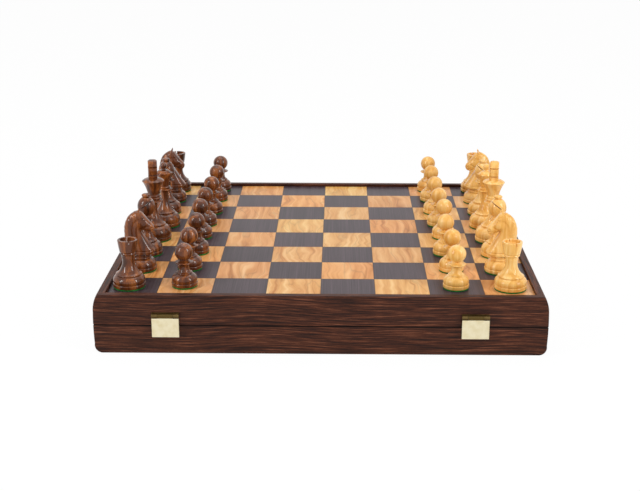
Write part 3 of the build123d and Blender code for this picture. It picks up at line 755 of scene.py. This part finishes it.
# %% Men
FOOT_RADIUS = {"pawn": 12.1, "rook": 15.0, "knight": 15.0, "bishop": 15.0, "king": 17.0, "queen": 16.0}
ROOK_SAW_TURNS = (17.0, 107.0)
ROOK_SAW = (1.2, 24.0, 5.2)
ROOK_TOP = 46.0
MITRE_SAW = (15.0, 30.0, 0.9)
MITRE_LEAN = 35.0
MITRE_OUT = 2.4
MITRE_Z = 53.6
CORONET_POINTS = 9
CORONET_OUT = 9.6
CORONET_Z = 59.9
DENT_RADIUS = 1.55
DENT_HALF = 2.2
CROSS_TURN = 9.0
PAD_INSET = 0.4
PAD_CLEAR = 0.03


def joined(name, meshes):
    """Several meshes as one, with their points kept where they are."""
    vertices, faces, start = [], [], 0
    for mesh in meshes:
        co = np.zeros(len(mesh.vertices) * 3, np.float32)
        mesh.vertices.foreach_get("co", co)
        vertices.append(co.reshape(-1, 3))
        faces += [tuple(v + start for v in polygon.vertices) for polygon in mesh.polygons]
        start += len(mesh.vertices)
    result = bpy.data.meshes.new(name)
    result.from_pydata(np.vstack(vertices).tolist(), [], faces)
    return result


def man_mesh(name, kind, facing):
    """The wood of one man about its own axis, in millimetres."""
    mesh = grid_mesh(name, spin(turned_profile(kind)))
    if kind == "rook":
        saws = [block_mesh("saw", ROOK_SAW, Matrix.Rotation(math.radians(turn), 4, "Z")
                           @ Matrix.Translation((0, 0, ROOK_TOP))) for turn in ROOK_SAW_TURNS]
        return cut(mesh, saws)
    if kind == "bishop":
        lean = (Matrix.Translation((facing * MITRE_OUT, 0, MITRE_Z))
                @ Matrix.Rotation(math.radians(-facing * MITRE_LEAN), 4, "Y"))
        return cut(mesh, [block_mesh("saw", MITRE_SAW, lean)])
    if kind == "queen":
        dents = []
        for k in range(CORONET_POINTS):
            turn = Matrix.Rotation(math.radians(360.0 / CORONET_POINTS * (k + 0.5)), 4, "Z")
            matrix = turn @ Matrix.Translation((CORONET_OUT, 0, CORONET_Z))
            angle = np.linspace(0, 2 * np.pi, 20, endpoint=False)
            ring = np.stack([0 * angle, DENT_RADIUS * np.cos(angle), DENT_RADIUS * np.sin(angle)], axis=-1)
            tube = np.stack([ring + (-DENT_HALF, 0, 0), ring + (DENT_HALF, 0, 0)])
            placed = np.array([[tuple(matrix @ Vector(p)) for p in loop] for loop in tube])
            dents.append(grid_mesh("dent", placed))
        return cut(mesh, dents)
    if kind == "king":
        turn = math.radians(facing * CROSS_TURN)
        plate = cut(grid_mesh("plate", cross_plate(turn)), notch_cutters(turn))
        return joined(name, [mesh, plate])
    if kind == "knight":
        head = knight_head() * np.array([facing, facing, 1.0])
        ears = [ear(side) * np.array([facing, facing, 1.0]) for side in (-1, 1)]
        return joined(name, [mesh, grid_mesh("head", head)] + [grid_mesh("ear", e) for e in ears])
    return mesh


def settle(mesh, middle, floor):
    """Scale from millimetres, move to the man's place, and write the points back."""
    co = np.zeros(len(mesh.vertices) * 3, np.float32)
    mesh.vertices.foreach_get("co", co)
    co = co.reshape(-1, 3) * MM + np.array([middle.x, middle.y, floor])
    mesh.vertices.foreach_set("co", co.astype(np.float32).ravel())
    mesh.update()


def felt_disc(name, radius):
    """A disc of felt: rings of (radius, height) that round its edges, a hair clear of the board."""
    rings = np.array([(radius - 0.35, PAD_CLEAR), (radius, 0.35), (radius + 0.05, 0.7),
                      (radius, PAD - 0.25), (radius - 0.3, PAD)])
    return grid_mesh(name, spin(rings, 64))


made = 0
for node in [n for n in frame["nodes"] if n.startswith(("dark_", "light_")) and "squares" not in n]:
    army, kind = node.split("_")[:2]
    facing = 1 if army == "dark" else -1
    low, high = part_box(node)
    middle = (low + high) / 2
    body = node + "_man"
    wood_mesh = man_mesh(node + "_wood", kind, facing)
    settle(wood_mesh, middle, low.z)
    wood_piece = make_piece(node + "_wood", wood_mesh, dark_wood if army == "dark" else light_wood, body)
    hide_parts(node)
    pad_radius = FOOT_RADIUS[kind] - PAD_INSET
    pad_mesh = felt_disc(node + "_pad", pad_radius)
    settle(pad_mesh, middle, low.z)
    pad_piece = make_piece(node + "_pad", pad_mesh, felt.material, body)
    made += 1
print("men set out:", made)

# %% [markdown]
# ## Felt inside
# The two stores in the base and the hollow of the lid are lined with green felt. It is
# glued down, so it lies flat, with the slight waves of cloth stuck by hand and its edges
# turned down a little at the walls.

# %% Felt linings
def lining(name, low, high, up, steps=60):
    """A sheet with waves of a tenth of a millimetre: its height is a sum of three slow sines."""
    x = np.linspace(low.x, high.x, steps)
    y = np.linspace(low.y, high.y, steps)
    gx, gy = np.meshgrid(x, y, indexing="ij")
    wave = 0.00012 * (np.sin(31 * gx + 9 * gy) + np.sin(23 * gy - 12 * gx + 1) + np.sin(47 * gx + 2))
    inset = np.minimum.reduce([gx - low.x, high.x - gx, gy - low.y, high.y - gy])
    edge = np.clip(inset / 0.002, 0, 1)
    shown = (high.z if up else low.z) + (-1 if up else 1) * (0.0004 - wave * edge)
    glued = np.full_like(gx, low.z if up else high.z)
    count = steps * steps
    index = np.arange(count).reshape(steps, steps)
    corners = [index[:-1, :-1], index[1:, :-1], index[1:, 1:], index[:-1, 1:]]
    quads = np.stack(corners, axis=-1).reshape(-1, 4)
    top = quads if up else quads[:, ::-1]
    bottom = quads[:, ::-1] + count if up else quads + count
    rim = np.concatenate([index[:, 0], index[-1, 1:], index[-2::-1, -1], index[0, -2:0:-1]])
    after = np.roll(rim, -1)
    wall = np.stack([rim, rim + count, after + count, after], axis=-1)
    wall = wall if up else wall[:, ::-1]
    points = np.concatenate([np.stack([gx, gy, side], -1).reshape(-1, 3) for side in (shown, glued)])
    mesh = bpy.data.meshes.new(name)
    mesh.from_pydata(points.tolist(), [], np.concatenate([top, bottom, wall]).tolist())
    mesh.update()
    return mesh


GAP = 0.0002
base_low, base_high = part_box("base_lining")
divider_low, divider_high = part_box("centre_divider")
lid_low, lid_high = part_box("lid_lining")
halves = {
    "left_store_felt": (Vector((base_low.x + GAP, base_low.y + GAP, base_low.z)),
                        Vector((divider_low.x - GAP, base_high.y - GAP, base_high.z))),
    "right_store_felt": (Vector((divider_high.x + GAP, base_low.y + GAP, base_low.z)),
                         Vector((base_high.x - GAP, base_high.y - GAP, base_high.z))),
}
for name, (low, high) in halves.items():
    store = make_piece(name, lining(name, low, high, True), felt.material, "base")
    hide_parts("base_lining")
roof_low = Vector((lid_low.x + GAP, lid_low.y + GAP, lid_low.z))
roof_high = Vector((lid_high.x - GAP, lid_high.y - GAP, lid_high.z))
roof = make_piece("lid_felt", lining("lid_felt", roof_low, roof_high, False), felt.material, "lid")
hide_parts("lid_lining")
print("linings laid:", len(halves) + 1)

# %% [markdown]
# ## Studio
# The box stands on white in soft light, with a tall soft lamp on either side: they give
# each turned man its two upright highlights. The floor is white and keeps a faint
# shadow. The room is plain and soft, but the camera, lacquer and brass see it as white.

# %% Studio
def lamp(name, place, target, size, power):
    """A rectangular soft lamp that shines from a place towards a target."""
    data = bpy.data.lights.new(name, "AREA")
    data.shape = "RECTANGLE"
    data.size, data.size_y = size
    data.energy = power
    light = bpy.data.objects.new(name, data)
    light.location = place
    light.rotation_euler = (Vector(target) - Vector(place)).to_track_quat("-Z", "Y").to_euler()
    bpy.context.scene.collection.objects.link(light)


lamp("left_softbox", (-1.3, -0.9, 0.9), (0, 0, 0.05), (0.3, 1.0), 13.0)
lamp("right_softbox", (1.3, -0.9, 0.9), (0, 0, 0.05), (0.3, 1.0), 13.0)
lamp("top_softbox", (0.0, 0.3, 1.8), (0, 0, 0.0), (1.6, 1.2), 12.0)

world = bpy.data.worlds.new("studio")
bpy.context.scene.world = world
world.use_nodes = True
tree = world.node_tree
tree.nodes.clear()
output = tree.nodes.new("ShaderNodeOutputWorld")
mixer = tree.nodes.new("ShaderNodeMixShader")
plain = tree.nodes.new("ShaderNodeBackground")
plain.inputs["Strength"].default_value = 0.5
white = tree.nodes.new("ShaderNodeBackground")
white.inputs["Strength"].default_value = 1.0
path = tree.nodes.new("ShaderNodeLightPath")
for background in (plain, white):
    background.inputs["Color"].default_value = (1, 1, 1, 1)
shown = path.outputs["Is Camera Ray"]
for ray in ("Is Glossy Ray", "Is Transmission Ray"):
    either = tree.nodes.new("ShaderNodeMath")
    either.operation = "MAXIMUM"
    tree.links.new(shown, either.inputs[0])
    tree.links.new(path.outputs[ray], either.inputs[1])
    shown = either.outputs[0]
tree.links.new(shown, mixer.inputs["Fac"])
tree.links.new(plain.outputs[0], mixer.inputs[1])
tree.links.new(white.outputs[0], mixer.inputs[2])
tree.links.new(mixer.outputs[0], output.inputs["Surface"])

floor_mesh = bpy.data.meshes.new("floor")
FLOOR_REACH = 6.0
FLOOR_Z = -0.0001
FLOOR_GLOW = 0.96
corners = [(x * FLOOR_REACH, y * FLOOR_REACH, FLOOR_Z) for x, y in ((-1, -1), (1, -1), (1, 1), (-1, 1))]
floor_mesh.from_pydata(corners, [], [(0, 1, 2, 3)])
floor = bpy.data.objects.new("floor", floor_mesh)
bpy.context.scene.collection.objects.link(floor)
floor_finish = Finish("floor_white", Roughness=0.9, Specular_IOR_Level=0.0)
floor_finish.shader.inputs["Base Color"].default_value = (0.95, 0.95, 0.95, 1)
glow = floor_finish.add("Emission", {"Color": (1, 1, 1, 1), "Strength": 1.0})
floor_path = floor_finish.add("LightPath")
by_camera = floor_path.outputs["Is Camera Ray"]
seen = floor_finish.maths("MAXIMUM", by_camera, floor_path.outputs["Is Glossy Ray"])
share = floor_finish.maths("MULTIPLY", seen, FLOOR_GLOW)
blend = floor_finish.add("MixShader", {0: share, 1: floor_finish.shader.outputs[0], 2: glow.outputs[0]})
floor_out = [n for n in floor_finish.tree.nodes if n.bl_idname == "ShaderNodeOutputMaterial"][0]
floor_finish.tree.links.new(blend.outputs[0], floor_out.inputs["Surface"])
floor_mesh.materials.append(floor_finish.material)
floor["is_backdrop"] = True

bpy.context.scene.view_settings.view_transform = "Standard"
print("studio ready")

# %% [markdown]
# ## Finish
# The size of the whole, leaving out the floor, is worked out from the bounds of every shown piece.

# %% Sizes and finish
low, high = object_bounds()
